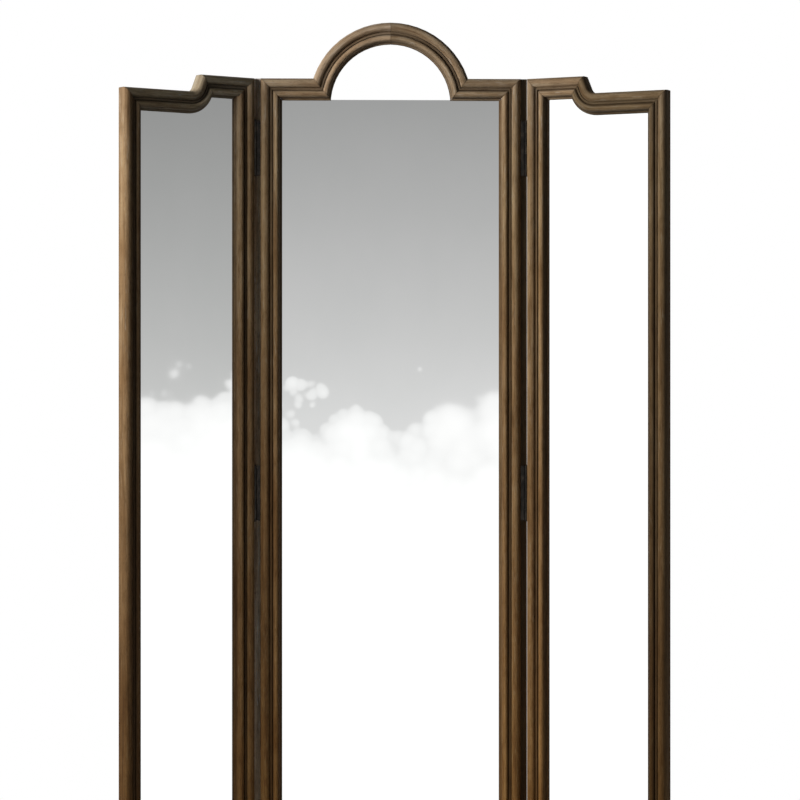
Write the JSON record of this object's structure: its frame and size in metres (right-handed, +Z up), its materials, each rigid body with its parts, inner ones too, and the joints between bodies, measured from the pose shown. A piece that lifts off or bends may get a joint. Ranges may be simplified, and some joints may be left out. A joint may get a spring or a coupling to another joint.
{
  "type": "three panel floor mirror",
  "caption": "Free-standing folding floor mirror in mitred oak moulding, with an open arch over the centre panel and hinged wings with swept shoulders.",
  "frame": {"origin": "on the floor, in the middle of the space the mirror takes up with its wings at rest", "axes": "+Z up, +X to the right of someone looking at the mirror, -Y out of the mirror's face towards that person"},
  "size_m": [1.1282, 0.195, 1.83],
  "materials": {
    "oak_frame": "weathered brown oak, waxed, satin",
    "mirror_glass": "silvered float glass",
    "back_board": "plain board, unfinished",
    "hinge_metal": "dark bronze, rubbed at the edges",
    "floor_glide": "matt"
  },
  "bodies": {
    "centre_panel": {"centre_left_stile": "oak_frame", "centre_top_rail_left": "oak_frame", "arch_left_half": "oak_frame", "left_hinge_batten": "oak_frame", "centre_left_glide": "floor_glide", "left_top_hinge_fixed_leaf": "hinge_metal", "left_top_hinge_pin": "hinge_metal", "left_middle_hinge_fixed_leaf": "hinge_metal", "left_middle_hinge_pin": "hinge_metal", "left_bottom_hinge_fixed_leaf": "hinge_metal", "left_bottom_hinge_pin": "hinge_metal", "centre_right_stile": "oak_frame", "centre_top_rail_right": "oak_frame", "arch_right_half": "oak_frame", "right_hinge_batten": "oak_frame", "centre_right_glide": "floor_glide", "right_top_hinge_fixed_leaf": "hinge_metal", "right_top_hinge_pin": "hinge_metal", "right_middle_hinge_fixed_leaf": "hinge_metal", "right_middle_hinge_pin": "hinge_metal", "right_bottom_hinge_fixed_leaf": "hinge_metal", "right_bottom_hinge_pin": "hinge_metal", "centre_bottom_rail": "oak_frame", "centre_mirror": "mirror_glass", "centre_back_board": "back_board"},
    "left_wing": {"left_wing_hinge_stile": "oak_frame", "left_wing_raised_rail": "oak_frame", "left_wing_swept_rail": "oak_frame", "left_wing_outer_stile": "oak_frame", "left_wing_bottom_rail": "oak_frame", "left_wing_mirror": "mirror_glass", "left_wing_back_board": "back_board", "left_wing_inner_glide": "floor_glide", "left_wing_outer_glide": "floor_glide", "left_top_hinge_moving_leaf": "hinge_metal", "left_middle_hinge_moving_leaf": "hinge_metal", "left_bottom_hinge_moving_leaf": "hinge_metal"},
    "right_wing": {"right_wing_hinge_stile": "oak_frame", "right_wing_raised_rail": "oak_frame", "right_wing_swept_rail": "oak_frame", "right_wing_outer_stile": "oak_frame", "right_wing_bottom_rail": "oak_frame", "right_wing_mirror": "mirror_glass", "right_wing_back_board": "back_board", "right_wing_inner_glide": "floor_glide", "right_wing_outer_glide": "floor_glide", "right_top_hinge_moving_leaf": "hinge_metal", "right_middle_hinge_moving_leaf": "hinge_metal", "right_bottom_hinge_moving_leaf": "hinge_metal"}
  },
  "joints": [
    {"name": "left_wing_hinge", "type": "hinge", "parent": "centre_panel", "child": "left_wing", "pos_m": [-0.29068, 0.07651, 0.848], "axis": [0, 0, 1], "range_deg": [-33, 77]},
    {"name": "right_wing_hinge", "type": "hinge", "parent": "centre_panel", "child": "right_wing", "pos_m": [0.27612, 0.07651, 0.848], "axis": [0, 0, -1], "range_deg": [-27, 83]}
  ]
}
